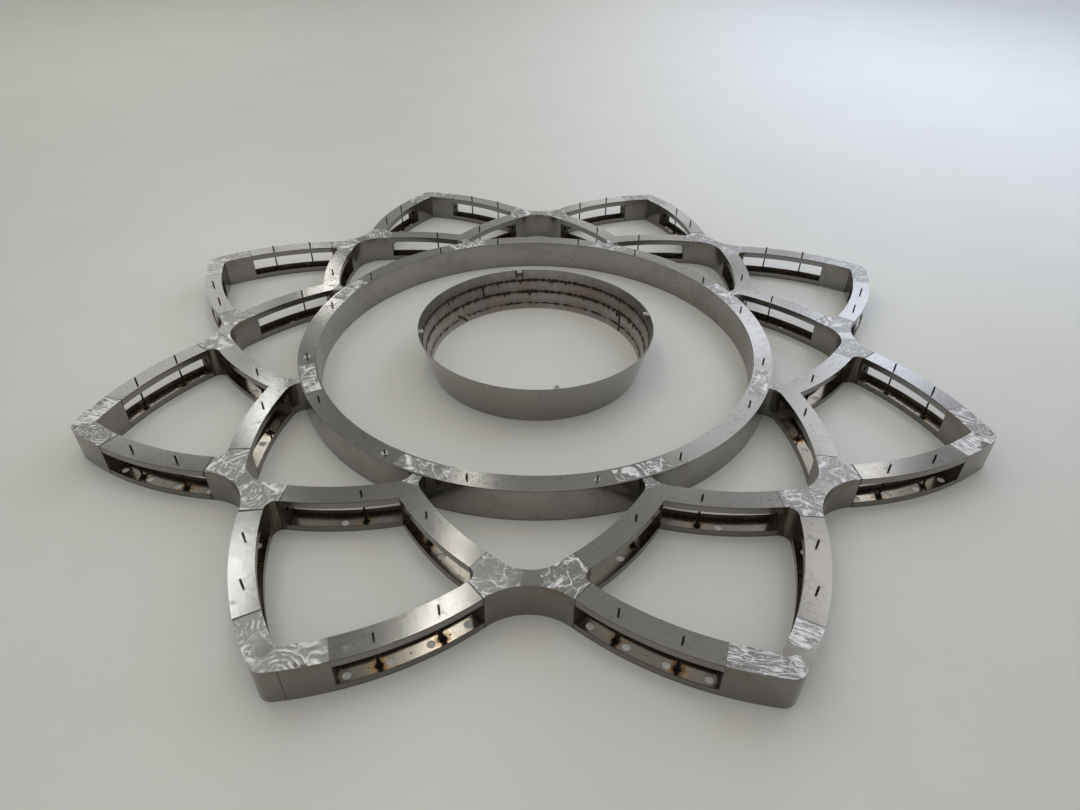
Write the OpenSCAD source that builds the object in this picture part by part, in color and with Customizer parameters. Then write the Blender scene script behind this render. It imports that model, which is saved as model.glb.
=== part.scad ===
/* [Petal frames] */
// Height of a petal frame from the floor to its top plates
petal_height = 228; // [190:1:280]
// Width of every arm across its top plate
arm_width = 130; // [100:1:160]
// Radius of the curve that the middle of each arm follows
arm_radius = 1815; // [1780:1:1850]
// How far beyond the ring the middles of two outer arms meet at a petal's tip
tip_reach = 1323.5; // [1290:0.5:1350]
// How far beyond the ring the middles of two inner arms meet on a petal's axis
elbow_reach = 119; // [112:1:126]
// Distance from a junction's axis at which the arms come to it
join_aside = 260; // [250:1:270]
// How far beyond the ring the outer arms come to a junction
outer_join_reach = 688; // [680:1:696]
// How far beyond the ring the inner arms come to a junction
inner_join_reach = 499.6; // [494:0.2:506]
// Thickness of the folded and welded sheet
sheet = 3; // [2:0.5:5]
// Height of the rim left below the side windows
lower_rim = 42; // [25:1:60]
// Height of the rim left above the side windows
upper_rim = 46; // [25:1:60]

/* [Corner boxes] */
// Length of each leg of a tip box, along the middle of the arm
tip_leg = 280; // [200:1:340]
// Radius of a tip's outer corner
tip_corner_radius = 80; // [30:1:120]
// Radius of the corners between outer and inner arms, where the junction boxes end
side_corner_radius = 57; // [45:1:75]
// Radius of the round crown on a junction box's side towards the ring
crown_radius = 225; // [180:1:260]
// Radius of the two hollows that narrow a neck towards the ring
neck_hollow_radius = 93; // [75:1:120]
// Width of a neck at its narrowest
neck_width = 66; // [50:1:90]
// Length of a neck, from the ring to its seam with the inner frame
neck_length = 78; // [66:1:82]

/* [Holes and studs of the arms] */
// Length along an outer arm from the petal's axis to its first bottom hole
first_hole_at = 328; // [315:1:340]
// Step from one bottom hole of an outer arm to the next
hole_step = 207; // [190:1:210]
// Diameter of the bottom holes
hole_diameter = 45; // [30:1:60]
// Diameter of the pilot holes halfway between the bottom holes
pilot_diameter = 12; // [6:1:20]
// Length along an outer arm from the petal's axis to its first stud
outer_stud_at = 482; // [460:1:500]
// Step from the first to the second stud of an outer arm
outer_stud_step = 320; // [300:1:340]
// Length along an inner arm from the petal's axis to its stud
inner_stud_at = 252; // [200:1:300]
// Length along an inner arm from the petal's axis to its bottom hole
inner_hole_at = 372; // [350:1:500]
// Diameter of every stud
stud_diameter = 12; // [8:1:16]
// How far the outer arms' studs stand above the top plates
outer_stud_rise = 36; // [15:1:60]
// How far the inner arms' studs stand above the top plates
inner_stud_rise = 30; // [15:1:60]
// Diameter of the collar nut at the foot of a stud
collar_diameter = 30; // [22:1:36]
// Height of the collar nut at the foot of a stud
collar_height = 16; // [8:1:24]
// Gap round a stud in each plate that it passes
stud_gap = 1.3; // [1.2:0.1:2]
// Diameter of the hole in each bulkhead
bulkhead_hole = 36; // [20:1:60]

/* [Ring] */
// Outer radius of the ring
ring_outer_radius = 1734; // [1715:1:1740]
// Width of the ring across its top plate
ring_width = 130; // [100:1:160]
// How far the ring's top plate stands above the petals' top plates
ring_rise = 6; // [0:1:40]
// Length of a splice plate along the middle of the ring
splice_length = 344; // [250:1:420]
// Strip of the top plate left on each side of a splice plate
splice_inset = 12; // [8:1:25]
// Open slot at each end of a splice plate
splice_slot = 1; // [0.5:0.5:4]
// Angle from a neck to the ring stud on each side of it
ring_stud_angle = 9.5; // [8.5:0.1:12]
// How far the ring's studs stand above its top plate
ring_stud_rise = 30; // [15:1:60]

/* [Drum] */
// Outer radius of the drum at its top
drum_top_radius = 875; // [800:1:950]
// Outer radius of the drum at the floor
drum_foot_radius = 790; // [740:1:795]
// Height of the drum
drum_height = 320; // [260:1:400]
// Thickness of the drum's rolled sheet
drum_sheet = 3; // [2:0.5:6]
// Width of a lifting lug round the drum
lug_width = 42; // [36:1:60]
// Length of a lug's level leg, towards the drum's middle
lug_reach = 36; // [32:1:60]
// Height of a lug's leg along the drum's wall
lug_height = 44; // [25:1:80]
// Thickness of a lug's two legs
lug_thickness = 4; // [3:0.5:8]
// Diameter of the hole through a lug and its nut
lug_hole = 13; // [8:1:16]
// Width of the nut welded on a lug, across its corners
lug_nut_width = 24; // [20:1:28]
// Height of the nut welded on a lug
lug_nut_height = 10; // [5:1:16]
// Drop from the drum's top edge to a lug's level leg
lug_drop = 2; // [1:1:20]
// Turn of the four lugs round the drum
lug_turn = 10; // [0:1:45]

/* [Hidden] */
petals = 8;
step = 360 / petals;
far = 6000;
half_arm = arm_width / 2;
neck_seam = ring_outer_radius + neck_length;
ring_height = petal_height + ring_rise;
ring_inner_radius = ring_outer_radius - ring_width;
ring_mid_radius = ring_outer_radius - ring_width / 2;
splice_half_angle = splice_length / 2 / ring_mid_radius * 180 / PI;

// Direction, distance and turning helpers for points in plan
function dir(a) = [cos(a), sin(a)];
function flip(p) = [-p[0], p[1]];
function angle_to(p, q) = atan2(q[1] - p[1], q[0] - p[0]);
function turned(p, a) = [p[0] * cos(a) - p[1] * sin(a), p[0] * sin(a) + p[1] * cos(a)];
// The crossing of two circles that lies to the left of the way from p to q
function crossing(p, rp, q, rq) = let (
    d = norm(q - p),
    x = (d * d + rp * rp - rq * rq) / (2 * d),
    y = sqrt(rp * rp - x * x),
    a = angle_to(p, q)
) p + x * dir(a) + y * dir(a + 90);

// Each arm's curve passes through a point on the petal's axis and one near the junction's
tip_point = [0, ring_outer_radius + tip_reach];
elbow_point = [0, ring_outer_radius + elbow_reach];
outer_join = turned([-join_aside, ring_outer_radius + outer_join_reach], -step / 2);
inner_join = turned([-join_aside, ring_outer_radius + inner_join_reach], -step / 2);
outer_c = crossing(outer_join, arm_radius, tip_point, arm_radius);
inner_c = crossing(inner_join, arm_radius, elbow_point, arm_radius);
outer_axis_angle = angle_to(outer_c, tip_point);
inner_axis_angle = angle_to(inner_c, elbow_point);
function arc_angle(length) = length / arm_radius * 180 / PI;
function outer_angle(length) = outer_axis_angle - arc_angle(length);
function inner_angle(length) = inner_axis_angle - arc_angle(length);

// A junction box ends where its corner radius touches the edges of both arms
side_corner = crossing(outer_c, arm_radius - half_arm - side_corner_radius,
                       inner_c, arm_radius + half_arm + side_corner_radius);
outer_end_angle = angle_to(outer_c, side_corner);
inner_end_angle = angle_to(inner_c, side_corner);
outer_tip_angle = outer_angle(tip_leg);

// A neck's hollow touches the inner arm's edge and the neck's narrowest width
neck_hollow = [neck_width / 2 + neck_hollow_radius, inner_c[1] + sqrt(
    pow(arm_radius - half_arm - neck_hollow_radius, 2)
    - pow(inner_c[0] - neck_width / 2 - neck_hollow_radius, 2))];
neck_touch_angle = angle_to(inner_c, neck_hollow);

// The same seams seen from the junction's own axis, half a step round from the petal's
outer_c_j = turned(outer_c, step / 2);
inner_c_j = turned(inner_c, step / 2);
side_corner_j = turned(side_corner, step / 2);
outer_end_j = outer_end_angle + step / 2;
inner_end_j = inner_end_angle + step / 2;
seam_oo = outer_c_j + (arm_radius + half_arm) * dir(outer_end_j);
rim_centre_j = [0, seam_oo[1] - seam_oo[0] * tan(outer_end_j)];
rim_radius_j = norm(seam_oo - rim_centre_j);
seam_ii = inner_c_j + (arm_radius - half_arm) * dir(inner_end_j);
crown_centre_j = [0, seam_ii[1]
    - (crown_radius - seam_ii[0] * cos(inner_end_j)) / sin(inner_end_j)];

arc_fn = 240;
hole_fn = 36;

// Places in the flower: +Y runs outwards along a petal's or a junction's axis
module at_petal(k) rotate([0, 0, step * (k - 0.5) - 90]) children();
module at_junction(k) rotate([0, 0, step * k - 90]) children();
module both_sides() {
    children();
    mirror([1, 0, 0]) children();
}
module on_outer_arm(length) translate(outer_c) rotate(outer_angle(length))
    translate([arm_radius, 0, 0]) children();
module on_inner_arm(length) translate(inner_c) rotate(inner_angle(length))
    translate([arm_radius, 0, 0]) children();

module disc(c, r) translate(c) circle(r = r, $fn = arc_fn);
module wedge(c, a, b) translate(c) polygon([[0, 0], far * dir(a), far * dir(b)]);
module slab(z0, z1) translate([0, 0, z0]) linear_extrude(z1 - z0) children();
module band(c, inside, outside, a, b) intersection() {
    difference() {
        disc(c, outside);
        disc(c, inside);
    }
    wedge(c, a, b);
}

// One arm between two seams: box section with a bulkhead at each end, open between its rims
module arm(c, a, b) {
    t = arc_angle(sheet);
    difference() {
        slab(0, petal_height) band(c, arm_radius - half_arm, arm_radius + half_arm, a, b);
        slab(sheet, petal_height - sheet)
            band(c, arm_radius - half_arm + sheet, arm_radius + half_arm - sheet, a + t, b - t);
        slab(lower_rim, petal_height - upper_rim)
            band(c, arm_radius - half_arm - 1, arm_radius + half_arm + 1, a + t, b - t);
        for (end = [a, b]) translate(c) rotate(end) translate([arm_radius, 0, petal_height / 2])
            rotate([90, 0, 0]) cylinder(h = 4 * sheet, d = bulkhead_hole, center = true, $fn = hole_fn);
    }
}

module through_hole(d) translate([0, 0, -1]) cylinder(h = petal_height + 2, d = d, $fn = hole_fn);
module bottom_hole(d) translate([0, 0, -1]) cylinder(h = sheet + 2, d = d, $fn = hole_fn);

module outer_arms() both_sides() difference() {
    arm(outer_c, outer_end_angle, outer_tip_angle);
    for (i = [0 : 3]) on_outer_arm(first_hole_at + i * hole_step) bottom_hole(hole_diameter);
    for (i = [0 : 2]) on_outer_arm(first_hole_at + (i + 0.5) * hole_step) bottom_hole(pilot_diameter);
    for (i = [0 : 1]) on_outer_arm(outer_stud_at + i * outer_stud_step)
        through_hole(stud_diameter + 2 * stud_gap);
}

// Plan of the pointed leaf that the outer arms make, drawn in from their outer edge by e
module leaf(c, r) intersection() {
    disc(c, r);
    disc(flip(c), r);
}
module tip_plan(e, reach) {
    a = outer_tip_angle - reach;
    apex = outer_c[1] - outer_c[0] * tan(a);
    r_corner = tip_corner_radius - e;
    r_out = arm_radius + half_arm - e;
    corner_y = outer_c[1] + sqrt(pow(r_out - r_corner, 2) - pow(outer_c[0], 2));
    corner_a = angle_to(outer_c, [0, corner_y]);
    touch = outer_c + r_out * dir(corner_a);
    difference() {
        intersection() {
            leaf(outer_c, r_out);
            translate([0, apex]) polygon([[0, 0], far * dir(a), far * dir(180 - a)]);
            union() {
                translate([-far / 2, touch[1] - far]) square([far, far]);
                disc([0, corner_y], r_corner);
            }
        }
        leaf(outer_c, arm_radius - half_arm + e);
    }
}
module tip_box() difference() {
    slab(0, petal_height) tip_plan(0, 0);
    slab(sheet, petal_height - sheet) tip_plan(sheet, arc_angle(1));
}

// Plan of a junction box, drawn in from its edges by e and run past its seams by g
module junction_plan(e, g) {
    oo = outer_c_j + (arm_radius + half_arm - e) * dir(outer_end_j);
    oi = outer_c_j + (arm_radius - half_arm + e) * dir(outer_end_j);
    io = inner_c_j + (arm_radius + half_arm - e) * dir(inner_end_j);
    ii = inner_c_j + (arm_radius - half_arm + e) * dir(inner_end_j);
    past_o = g * dir(outer_end_j + 90);
    past_i = g * dir(inner_end_j + 90);
    crown = crown_centre_j + (crown_radius + e) * dir(inner_end_j);
    left = [oo, oo + past_o, oi + past_o, oi, io, io + past_i, ii + past_i, ii, crown];
    right = [for (i = [len(left) - 1 : -1 : 0]) flip(left[i])];
    difference() {
        polygon(concat(left, right));
        disc(rim_centre_j, rim_radius_j + e);
        disc(crown_centre_j, crown_radius + e);
        disc(side_corner_j, side_corner_radius + e);
        disc(flip(side_corner_j), side_corner_radius + e);
    }
}
module junction_box() difference() {
    slab(0, petal_height) junction_plan(0, 0);
    slab(sheet, petal_height - sheet) junction_plan(sheet, 1);
}

// Plan of the V of two inner arms up to the seam with the neck, drawn in by e
module two_discs(c, r) {
    disc(c, r);
    disc(flip(c), r);
}
module inner_plan(e, a, past) {
    touch = inner_c + (arm_radius - half_arm + e) * dir(neck_touch_angle);
    apex = inner_c[1] - inner_c[0] * tan(a);
    difference() {
        union() {
            difference() {
                intersection() {
                    two_discs(inner_c, arm_radius + half_arm - e);
                    polygon([[0, apex], inner_c, flip(inner_c)]);
                }
                two_discs(inner_c, arm_radius - half_arm + e);
            }
            translate([-touch[0], neck_seam - past])
                square([2 * touch[0], touch[1] - neck_seam + past]);
        }
        two_discs(neck_hollow, neck_hollow_radius + e);
        translate([-neck_hollow[0], 0]) square([2 * neck_hollow[0], neck_seam - past]);
    }
}
module inner_frame() {
    t = arc_angle(sheet);
    inside = arm_radius - half_arm;
    outside = arm_radius + half_arm;
    difference() {
        slab(0, petal_height) inner_plan(0, inner_end_angle, 0);
        slab(sheet, petal_height - sheet) difference() {
            inner_plan(sheet, inner_end_angle + t, 1);
            both_sides() band(inner_c, inside, outside, neck_touch_angle - t, neck_touch_angle);
        }
        both_sides() {
            slab(lower_rim, petal_height - upper_rim)
                band(inner_c, inside - 1, outside + 1, inner_end_angle + t, neck_touch_angle - t);
            for (end = [inner_end_angle, neck_touch_angle])
                translate(inner_c) rotate(end) translate([arm_radius, 0, petal_height / 2])
                rotate([90, 0, 0])
                cylinder(h = 4 * sheet, d = bulkhead_hole, center = true, $fn = hole_fn);
            on_inner_arm(inner_hole_at) bottom_hole(hole_diameter);
            on_inner_arm(inner_stud_at) through_hole(stud_diameter + 2 * stud_gap);
        }
    }
}

module neck_plan(e, past) difference() {
    translate([-neck_hollow[0], 0]) square([2 * neck_hollow[0], neck_seam + past]);
    two_discs(neck_hollow, neck_hollow_radius + e);
    both_sides() translate([neck_width / 2 - e, 0]) square([far, neck_hollow[1]]);
    disc([0, 0], ring_outer_radius - past);
}
module neck_box() difference() {
    slab(0, petal_height) neck_plan(0, 0);
    slab(sheet, petal_height - sheet) neck_plan(sheet, 1);
}

// A stud with its collar nut on the bottom plate
module stud(height) {
    translate([0, 0, sheet]) cylinder(h = collar_height, d = collar_diameter, $fn = 6);
    cylinder(h = height, d = stud_diameter, $fn = hole_fn);
}
module each_petal() for (k = [1 : petals]) at_petal(k) children();
module outer_arm_studs() each_petal() both_sides() for (i = [0 : 1])
    on_outer_arm(outer_stud_at + i * outer_stud_step) stud(petal_height + outer_stud_rise);
module inner_arm_studs() each_petal() both_sides()
    on_inner_arm(inner_stud_at) stud(petal_height + inner_stud_rise);
module on_ring_studs() each_petal() for (side = [-1, 1]) rotate([0, 0, side * ring_stud_angle])
    translate([0, ring_mid_radius, 0]) children();
module ring_studs() on_ring_studs() stud(ring_height + ring_stud_rise);

module tube(r_out, r_in, z0, z1) slab(z0, z1) difference() {
    disc([0, 0], r_out);
    disc([0, 0], r_in);
}
module splice_plan(slot) each_petal() {
    turn = slot / ring_mid_radius * 180 / PI;
    band([0, 0], ring_inner_radius + splice_inset, ring_outer_radius - splice_inset,
         90 - splice_half_angle - turn, 90 + splice_half_angle + turn);
}
module ring_top_plate() difference() {
    tube(ring_outer_radius, ring_inner_radius, ring_height - sheet, ring_height);
    slab(ring_height - sheet - 1, ring_height + 1) splice_plan(splice_slot);
    on_ring_studs() translate([0, 0, ring_height - sheet - 1])
        cylinder(h = sheet + 2, d = stud_diameter + 2 * stud_gap, $fn = hole_fn);
}
module ring_splice_plates() slab(ring_height - sheet, ring_height) splice_plan(0);
module ring_bottom_plate() difference() {
    tube(ring_outer_radius, ring_inner_radius, 0, sheet);
    on_ring_studs() bottom_hole(stud_diameter + 2 * stud_gap);
}
module ring_inner_wall()
    tube(ring_inner_radius + sheet, ring_inner_radius, sheet, ring_height - sheet);
module ring_outer_wall()
    tube(ring_outer_radius, ring_outer_radius - sheet, sheet, ring_height - sheet);

// The drum: one cone of rolled sheet with four lugs inside its top edge
drum_slope = atan2(drum_top_radius - drum_foot_radius, drum_height);
drum_across = drum_sheet / cos(drum_slope);
module drum_shell() rotate_extrude($fn = arc_fn) polygon([
    [drum_foot_radius - drum_across, 0],
    [drum_foot_radius, 0],
    [drum_top_radius, drum_height],
    [drum_top_radius - drum_across, drum_height]]);
lug_top = drum_height - lug_drop;
lug_foot = lug_top - lug_height;
function drum_inside(z) = drum_foot_radius + z * tan(drum_slope) - drum_across;
lug_stand_off = drum_inside(lug_foot)
    - sqrt(pow(drum_inside(lug_foot), 2) - pow(lug_width / 2, 2));
function lug_back(z) = drum_inside(z) - lug_stand_off;
lug_middle = lug_back(lug_top) - lug_reach / 2;
module drum_lug() difference() {
    union() {
        rotate([90, 0, 0]) linear_extrude(lug_width, center = true) polygon([
            [lug_back(lug_top), lug_top],
            [lug_back(lug_top) - lug_reach, lug_top],
            [lug_back(lug_top) - lug_reach, lug_top - lug_thickness],
            [lug_back(lug_top - lug_thickness) - lug_thickness / cos(drum_slope),
             lug_top - lug_thickness],
            [lug_back(lug_foot) - lug_thickness / cos(drum_slope), lug_foot],
            [lug_back(lug_foot), lug_foot]]);
        translate([lug_middle, 0, lug_top])
            cylinder(h = lug_nut_height, d = lug_nut_width, $fn = 6);
    }
    translate([lug_middle, 0, lug_top - lug_thickness - 1])
        cylinder(h = lug_thickness + lug_nut_height + 2, d = lug_hole, $fn = hole_fn);
}
module drum_lugs() for (i = [0 : 3]) rotate([0, 0, lug_turn + 90 * i]) drum_lug();

color("silver") ring_top_plate();
color("gray") ring_bottom_plate();
color("lightgray") ring_inner_wall();
color("lightgray") ring_outer_wall();
color("white") ring_splice_plates();
color("black") ring_studs();
color("black") outer_arm_studs();
color("black") inner_arm_studs();
color("darkgray") drum_shell();
color("dimgray") drum_lugs();
for (k = [1 : petals]) {
    at_petal(k) color("white") tip_box();
    at_petal(k) color("silver") outer_arms();
    at_junction(k) color("white") junction_box();
    at_petal(k) color("silver") inner_frame();
    at_petal(k) color("white") neck_box();
}
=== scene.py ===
# %% [markdown]
# # A stainless steel flower frame on a pale floor
#
# Eight pointed petals of box-section arms stand round a box ring, and a loose conical drum
# stands in the middle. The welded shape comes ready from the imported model, which this script
# loads as a fixed frame. What is left to make here is what the eye reads as metal: satin sheet,
# swirls left by a hand grinder, heat tint and soot beside the welds, and the rows of tack welds.

# %% Load the frame
import math

import bmesh
import bpy
from mathutils import Matrix, Vector


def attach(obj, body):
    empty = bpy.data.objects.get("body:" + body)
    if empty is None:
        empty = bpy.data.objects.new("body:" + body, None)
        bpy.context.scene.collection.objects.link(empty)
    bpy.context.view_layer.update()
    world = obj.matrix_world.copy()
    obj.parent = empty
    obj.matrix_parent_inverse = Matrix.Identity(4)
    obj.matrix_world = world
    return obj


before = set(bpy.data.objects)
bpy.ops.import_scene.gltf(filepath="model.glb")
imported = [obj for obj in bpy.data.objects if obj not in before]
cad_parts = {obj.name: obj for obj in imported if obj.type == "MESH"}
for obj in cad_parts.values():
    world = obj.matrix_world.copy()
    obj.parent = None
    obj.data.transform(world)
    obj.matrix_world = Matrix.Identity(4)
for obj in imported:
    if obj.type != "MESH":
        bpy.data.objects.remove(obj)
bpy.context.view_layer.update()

# %% [markdown]
# ## Sizes
#
# The finishes and the welds have to know where the flower's seams, studs and plates are. They
# could be measured on the loaded meshes, but the drawing behind them is short: arcs of one
# radius, mirrored on each petal's axis and repeated eight times. So places are given once, in
# metres, for a petal that points along +Y, as a distance across its axis and a distance out
# from the flower's centre. Seams and studs are lengths along an arm from the petal's axis.

# %% Sizes of the petals
PETALS = 8
STEP = 2 * math.pi / PETALS
SHEET = 0.003
PETAL_TOP = 0.228
ARM_RADIUS = 1.815
ARM_HALF = 0.065
OUTER_CENTRE = (-0.92011, 1.49301)
INNER_CENTRE = (1.11003, 0.41702)
OUTER_START = math.acos(-OUTER_CENTRE[0] / ARM_RADIUS)
INNER_START = math.pi - math.acos(INNER_CENTRE[0] / ARM_RADIUS)
TIP_SEAM, OUTER_SEAM = 0.280, 1.0074
NECK_TOUCH, INNER_SEAM = 0.0403, 0.6912
OUTER_STUDS = (0.482, 0.802)
INNER_STUD = 0.252
TIP_FOLD = 0.064
JUNCTION_CORNER = (0.5791, 2.2798)
TACK_START, TACK_PITCH = 0.040, 0.050
print("outer arms start", round(math.degrees(OUTER_START), 2), "degrees round from +X")

# %% Sizes of the ring and the drum
RING_TOP = 0.234
RING_MIDDLE = 1.669
RING_STUD_TURN = math.radians(9.5)
DRUM_TOP, DRUM_FOOT, DRUM_HEIGHT = 0.875, 0.790, 0.320
DRUM_MIDDLE = 0.83
DRUM_SLOPE = (DRUM_TOP - DRUM_FOOT) / DRUM_HEIGHT
DRUM_ROWS = (0.236, 0.142, 0.048)
LUG_TURN = math.radians(10)
LUG_REACH = 0.87
print("the drum leans out by", round(math.degrees(math.atan(DRUM_SLOPE)), 1), "degrees")


# %% Places of the studs
def on_arm(centre, start, length, aside=0.0):
    """Place, across and out, at a length along an arm's middle and a distance to its outside."""
    turn = start - length / ARM_RADIUS
    radius = ARM_RADIUS + aside
    return centre[0] + radius * math.cos(turn), centre[1] + radius * math.sin(turn)


outer_stud_places = [on_arm(OUTER_CENTRE, OUTER_START, length) for length in OUTER_STUDS]
inner_stud_place = on_arm(INNER_CENTRE, INNER_START, INNER_STUD)
ring_stud_place = (RING_MIDDLE * math.sin(RING_STUD_TURN), RING_MIDDLE * math.cos(RING_STUD_TURN))
print("studs, across and out:", outer_stud_places, inner_stud_place, ring_stud_place)

# %% [markdown]
# ## Camera
#
# The photograph was taken from about three metres up, close to one junction, with a wide lens.
# Such a view could be framed by eye, but then the far petals come out too large or too small.
# Place, turn and lens were fitted together instead, until the ring's edges and the petals' tips
# fell where the photograph has them. That is why the numbers are odd.

# %% Camera
eye = bpy.data.objects.new("gallery_camera", bpy.data.cameras.new("gallery_camera"))
bpy.context.collection.objects.link(eye)
eye.data.sensor_width = 36.0
eye.data.lens = 24.145
eye.data.clip_end = 200
eye.matrix_world = (
    Matrix.Translation((0.0466, -4.7082, 3.0599))
    @ Matrix.Rotation(math.radians(0.111), 4, "Z")
    @ Matrix.Rotation(math.radians(53.269), 4, "X")
    @ Matrix.Rotation(math.radians(0.610), 4, "Z")
)
bpy.context.scene.camera = eye
bpy.context.scene.view_settings.view_transform = "Standard"
print("camera", round(eye.matrix_world.translation.z, 2), "m up, lens", round(eye.data.lens, 1))

# %% [markdown]
# ## Shader maths as expressions
#
# A finish is mostly sums over noise and distances, which are hard to read as node links. A
# small class wraps a socket so that ordinary operators add the Math nodes. A second one holds
# a node tree and adds any other node from its type, its settings and its inputs, and a third
# adds the material with its shader. The maths then reads as it would on paper.


# %% Sockets as expressions
class Wire:
    """A shader socket that Python's operators work on."""

    def __init__(self, tree, socket):
        self.tree = tree
        self.socket = socket

    def math(self, operation, *others, swap=False):
        node = self.tree.nodes.new("ShaderNodeMath")
        node.operation = operation
        values = (*others, self) if swap else (self, *others)
        for socket, value in zip(node.inputs, values):
            plug(self.tree, value, socket)
        return Wire(self.tree, node.outputs[0])

    def __add__(self, other):
        return self.math("ADD", other)

    __radd__ = __add__

    def __mul__(self, other):
        return self.math("MULTIPLY", other)

    __rmul__ = __mul__

    def __sub__(self, other):
        return self.math("SUBTRACT", other)

    def __rsub__(self, other):
        return self.math("SUBTRACT", other, swap=True)

    def __truediv__(self, other):
        return self.math("DIVIDE", other)

    def __rtruediv__(self, other):
        return self.math("DIVIDE", other, swap=True)

    def __pow__(self, other):
        return self.math("POWER", other)

    def __abs__(self):
        return self.math("ABSOLUTE")

    def lower(self, other):
        return self.math("MINIMUM", other)

    def higher(self, other):
        return self.math("MAXIMUM", other)

    def ramp(self, low, high):
        """0 below low, 1 above high, smooth between; falls instead where low is above high."""
        node = self.tree.nodes.new("ShaderNodeMapRange")
        node.interpolation_type = "SMOOTHSTEP"
        down = low > high
        for name, value in (
            ("Value", self),
            ("From Min", high if down else low),
            ("From Max", low if down else high),
            ("To Min", 1.0 if down else 0.0),
            ("To Max", 0.0 if down else 1.0),
        ):
            plug(self.tree, value, node.inputs[name])
        return Wire(self.tree, node.outputs["Result"])


def plug(tree, value, socket):
    """Links a wire to a socket, or sets the socket's own value."""
    if isinstance(value, Wire):
        tree.links.new(value.socket, socket)
    else:
        socket.default_value = value


def highest(masks):
    """The highest of several wires at each point."""
    first, *others = masks
    for mask in others:
        first = first.higher(mask)
    return first


# %% Node trees and materials
class Nodes:
    """A node tree under construction."""

    def __init__(self, tree):
        self.tree = tree

    def node(self, kind, settings=None, inputs=None, output=0):
        node = self.tree.nodes.new(kind)
        for name, value in (settings or {}).items():
            setattr(node, name, value)
        for name, value in (inputs or {}).items():
            plug(self.tree, value, node.inputs[name])
        return Wire(self.tree, node.outputs[output])

    def parts(self, vector):
        node = self.tree.nodes.new("ShaderNodeSeparateXYZ")
        plug(self.tree, vector, node.inputs[0])
        return [Wire(self.tree, socket) for socket in node.outputs]

    def mix(self, amount, first, second):
        return self.node(
            "ShaderNodeMix", {"data_type": "RGBA"},
            {"Factor": amount, 6: first, 7: second}, 2,
        )


class Finish(Nodes):
    """A material under construction."""

    def __init__(self, name, **constants):
        self.material = bpy.data.materials.new(name)
        self.material.use_nodes = True
        super().__init__(self.material.node_tree)
        self.shader = self.tree.nodes["Principled BSDF"]
        self.set(**constants)

    def set(self, **values):
        for name, value in values.items():
            plug(self.tree, value, self.shader.inputs[name.replace("_", " ")])

    def place(self):
        return self.node("ShaderNodeTexCoord", output="Object")

    def vector(self, x, y, z=0.0):
        return self.node("ShaderNodeCombineXYZ", inputs={"X": x, "Y": y, "Z": z})

    def shifted(self, where, x, y, z=0.0):
        return self.node("ShaderNodeVectorMath", {"operation": "ADD"}, {0: where, 1: (x, y, z)})

    def noise(self, where, scale, detail=2.0, roughness=0.5, distortion=0.0):
        return self.node(
            "ShaderNodeTexNoise",
            inputs={"Vector": where, "Scale": scale, "Detail": detail,
                    "Roughness": roughness, "Distortion": distortion},
        )

    def cells(self, where, scale, feature, output):
        return self.node(
            "ShaderNodeTexVoronoi", {"voronoi_dimensions": "2D", "feature": feature},
            {"Vector": where, "Scale": scale}, output,
        )

    def bump(self, height, distance, base=None):
        inputs = {"Height": height, "Distance": distance}
        if base is not None:
            inputs["Normal"] = base
        return self.node("ShaderNodeBump", inputs=inputs)


# %% [markdown]
# ## Where a point lies on the flower
#
# All petals share one drawing, so one finish has to serve every arm. It could be painted for
# one petal and copied, but then all petals would carry the same smudges. Here the materials
# fold only the places: the angle round the flower is taken within its own petal, and from the
# two folded distances follow the place along an arm and the distance from its middle. The
# noise reads the unfolded coordinates, so no two petals look the same.


# %% Folded plan coordinates
class Plan:
    """Object coordinates and their folded distances, for one finish."""

    def __init__(self, finish):
        self.where = finish.place()
        self.x, self.y, self.z = finish.parts(self.where)
        self.sweep = self.y.math("ARCTAN2", self.x)
        steps = self.sweep / STEP
        self.number = steps.math("FLOOR")
        local = (steps - self.number - 0.5) * STEP
        self.reach = (self.x * self.x + self.y * self.y) ** 0.5
        self.side = local.math("SINE") * self.reach
        self.across = abs(self.side)
        self.out = local.math("COSINE") * self.reach
        self.up = finish.parts(finish.node("ShaderNodeNewGeometry", output="True Normal"))[2]

    def arm(self, centre, start):
        """Length along an arm's middle, and distance from its middle towards the outside."""
        right = self.across - centre[0]
        ahead = self.out - centre[1]
        aside = (right * right + ahead * ahead) ** 0.5 - ARM_RADIUS
        along = (start - ahead.math("ARCTAN2", right)) * ARM_RADIUS
        return along, aside

    def near(self, place):
        """Distance in plan from a folded place."""
        right = self.across - place[0]
        ahead = self.out - place[1]
        return (right * right + ahead * ahead) ** 0.5

    def leg(self):
        """A number from 0 to 1 that differs from one half of a petal to the next."""
        return (self.number * 0.37 + self.side.math("SIGN") * 0.17 + 0.5).math("FRACT")

    def plates(self):
        """1 on level faces, 0 on walls."""
        return abs(self.up).ramp(0.7, 0.9)

    def walls(self):
        """1 on walls, 0 on level faces and on their rounded edges."""
        return abs(self.up).ramp(0.4, 0.2)

    def edge_lines(self, top):
        """Lines a little below a wall's top and above its foot, where a plate is welded on."""
        return abs(self.z - (top - 0.0050)).lower(abs(self.z - 0.0045)).ramp(0.0024, 0.0012)
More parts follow.
